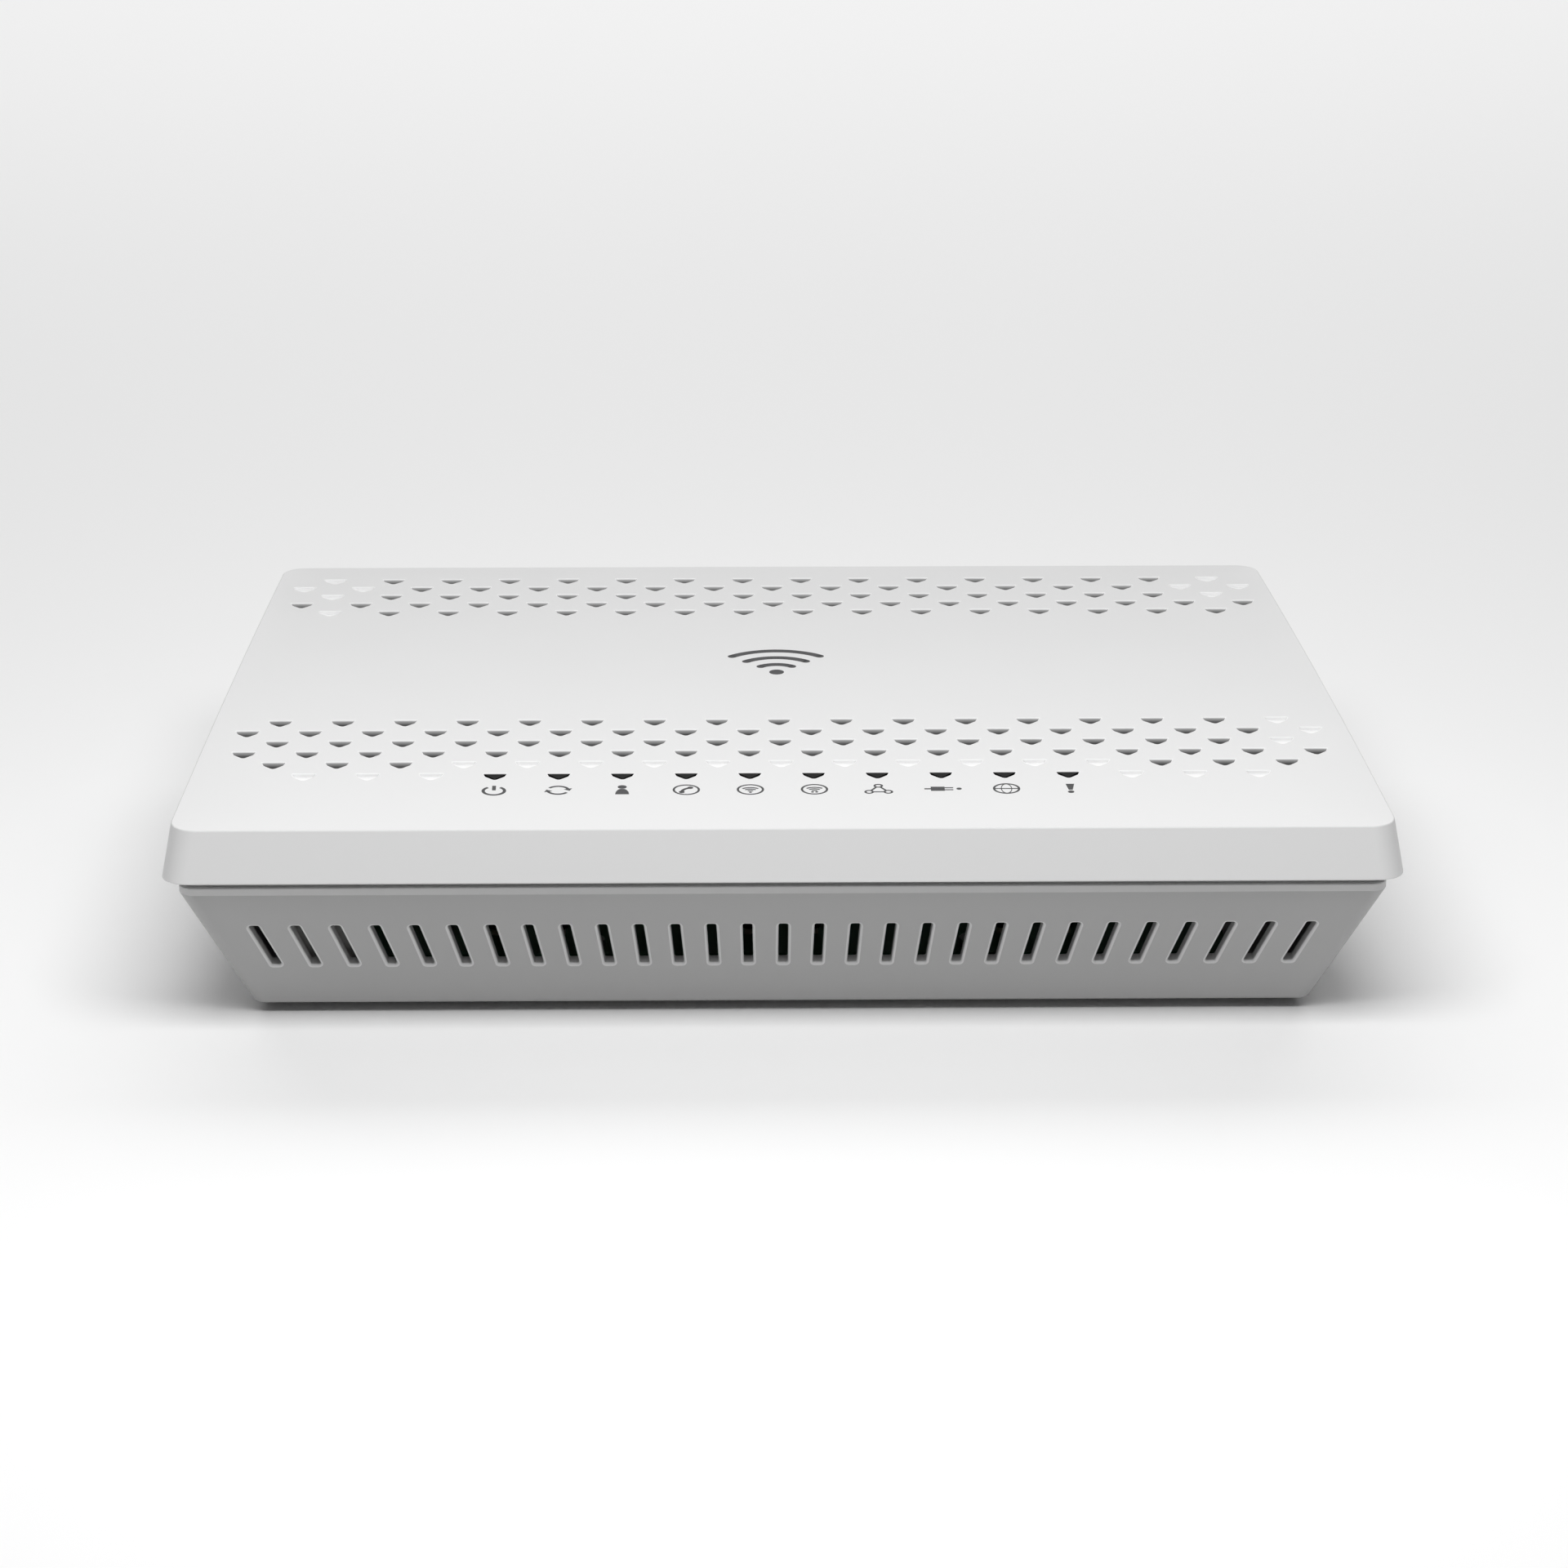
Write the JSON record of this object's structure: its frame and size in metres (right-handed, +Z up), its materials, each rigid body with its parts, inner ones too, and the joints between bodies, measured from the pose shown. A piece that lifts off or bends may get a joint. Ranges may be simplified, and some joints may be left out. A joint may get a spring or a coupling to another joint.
{
  "type": "cable modem",
  "caption": "Flat white cable gateway with a crowned top, triangular vents, an indicator row, fanned front slots and jacks at the rear.",
  "frame": {"origin": "centre of the bounding box at the underside of the feet", "axes": "+Z up, +X to the right seen from the front, +Y towards the rear with the jacks"},
  "size_m": [0.2302, 0.1656, 0.0432],
  "materials": {
    "cover_white": "fine satin, moulded white",
    "tub_grey": "fine satin, moulded light grey",
    "smoked_plastic": "smooth",
    "board_green": "solder mask",
    "led_cream": "smooth",
    "chip_black": "moulded epoxy",
    "pad_grey": "soft",
    "sink_aluminium": "extruded",
    "tin_plate": "tin plated",
    "jack_black": "satin",
    "contact_gold": "gold plated",
    "nickel": "nickel plated",
    "insulator_white": "smooth",
    "button_grey": "satin",
    "plunger_white": "smooth",
    "sleeve_dark": "shrink sleeve",
    "ferrite": "dull",
    "aerial_white": "white solder mask",
    "lead_black": "satin",
    "foot_rubber": "soft",
    "screw_steel": "zinc plated",
    "label_paper": "matt film"
  },
  "bodies": {
    "gateway": {"top_cover": "cover_white", "base_tub": "tub_grey", "light_pipe": "smoked_plastic", "main_board": "board_green", "led_row": "led_cream", "soc_chip": "chip_black", "thermal_pad": "pad_grey", "heat_sink": "sink_aluminium", "memory_chips": "chip_black", "flash_chip": "chip_black", "line_chips": "chip_black", "crystal_can": "tin_plate", "tuner_fence": "tin_plate", "tuner_cover": "tin_plate", "wifi_fences": "tin_plate", "wifi_covers": "tin_plate", "lan_transformers": "chip_black", "capacitors": "sleeve_dark", "inductors": "ferrite", "lan_jack_shield": "nickel", "lan_jack_body": "jack_black", "lan_contacts": "contact_gold", "phone_jack_body": "jack_black", "phone_contacts": "contact_gold", "usb_shell": "nickel", "usb_tongue": "jack_black", "usb_contacts": "contact_gold", "dc_jack_body": "jack_black", "dc_jack_pin": "nickel", "coax_body": "nickel", "coax_insulator": "insulator_white", "coax_contact": "contact_gold", "coax_washer": "nickel", "coax_nut": "nickel", "power_switch": "jack_black", "pair_switch": "jack_black", "reset_switch": "jack_black", "aerial_boards": "aerial_white", "aerial_lead_front_left": "lead_black", "aerial_lead_front_right": "lead_black", "aerial_lead_rear_left": "lead_black", "aerial_lead_rear_right": "lead_black", "rubber_feet": "foot_rubber", "case_screws": "screw_steel", "board_screws": "screw_steel", "rating_label": "label_paper"},
    "power_button": {"power_button": "button_grey"},
    "pair_button": {"pair_button": "button_grey"},
    "reset_plunger": {"reset_plunger": "plunger_white"}
  },
  "joints": [
    {"name": "power_press", "type": "slide", "parent": "gateway", "child": "power_button", "axis": [0, -1, 0], "range_m": [0, 0.002], "stiffness_N_per_m": 900},
    {"name": "pair_press", "type": "slide", "parent": "gateway", "child": "pair_button", "axis": [0, -1, 0], "range_m": [0, 0.0006], "stiffness_N_per_m": 1500},
    {"name": "reset_press", "type": "slide", "parent": "gateway", "child": "reset_plunger", "axis": [0, -1, 0], "range_m": [0, 0.0004], "stiffness_N_per_m": 600}
  ]
}
